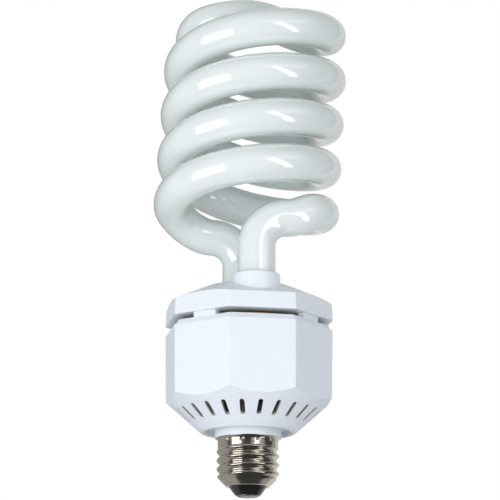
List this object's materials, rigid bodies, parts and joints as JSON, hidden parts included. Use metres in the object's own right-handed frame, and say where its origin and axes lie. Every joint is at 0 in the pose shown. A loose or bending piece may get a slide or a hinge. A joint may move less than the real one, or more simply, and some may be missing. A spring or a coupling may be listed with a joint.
{
  "type": "spiral compact fluorescent lamp",
  "caption": "Large self-ballasted spiral fluorescent bulb: twin-strand glass coil on two straight legs, eight-sided vented ballast housing and a medium screw base.",
  "frame": {"origin": "tip of the centre contact, on the lamp's axis", "axes": "+Z along the lamp's axis towards the glass; -Y towards the front face of the eight-sided housing and the front leg of the tube"},
  "size_m": [0.0826, 0.0801, 0.2169],
  "materials": {
    "tube_glass": "clear glass tube over a milky white phosphor coat, glossy",
    "cement": "matte white capping cement",
    "white_plastic": "satin white moulded polycarbonate",
    "nickel_plate": "bright nickel plate on thin rolled brass",
    "black_glass": "glossy opaque black base glass",
    "solder": "dull grey solder",
    "board_laminate": "tan paper laminate",
    "can_sleeve": "shrunk black sleeve on an aluminium can",
    "ferrite": "matte dark grey ferrite",
    "bobbin_plastic": "black moulded bobbin",
    "copper_wire": "enamelled copper",
    "moulded_epoxy": "black moulded epoxy",
    "dipped_coat": "dipped red-brown coat",
    "resistor_coat": "green resistor coat",
    "disc_ceramic": "dark green dipped disc",
    "live_insulation": "black wire insulation",
    "neutral_insulation": "white wire insulation",
    "tinned_pin": "tinned steel"
  },
  "bodies": {
    "root": {"glass_tube": "tube_glass", "tube_cement_front": "cement", "tube_cement_rear": "cement", "tube_cap": "white_plastic", "housing": "white_plastic", "screw_shell": "nickel_plate", "base_insulator": "black_glass", "centre_contact": "solder", "circuit_board": "board_laminate", "solder_joints": "solder", "smoothing_capacitor_left": "can_sleeve", "smoothing_capacitor_right": "can_sleeve", "choke_core_upper": "ferrite", "choke_core_lower": "ferrite", "choke_bobbin": "bobbin_plastic", "choke_winding": "copper_wire", "drive_toroid": "ferrite", "toroid_winding": "copper_wire", "transistor_left": "moulded_epoxy", "transistor_right": "moulded_epoxy", "resonance_capacitor": "dipped_coat", "coupling_capacitor": "dipped_coat", "line_choke_core": "ferrite", "line_choke_winding": "copper_wire", "rectifier_diodes": "moulded_epoxy", "fuse_resistor": "resistor_coat", "thermistor": "disc_ceramic", "live_wire": "live_insulation", "neutral_wire": "neutral_insulation", "wrap_pin_1": "tinned_pin", "wrap_pin_2": "tinned_pin", "wrap_pin_3": "tinned_pin", "wrap_pin_4": "tinned_pin", "lead_wire_1": "tinned_pin", "lead_wire_2": "tinned_pin", "lead_wire_3": "tinned_pin", "lead_wire_4": "tinned_pin"}
  },
  "joints": []
}
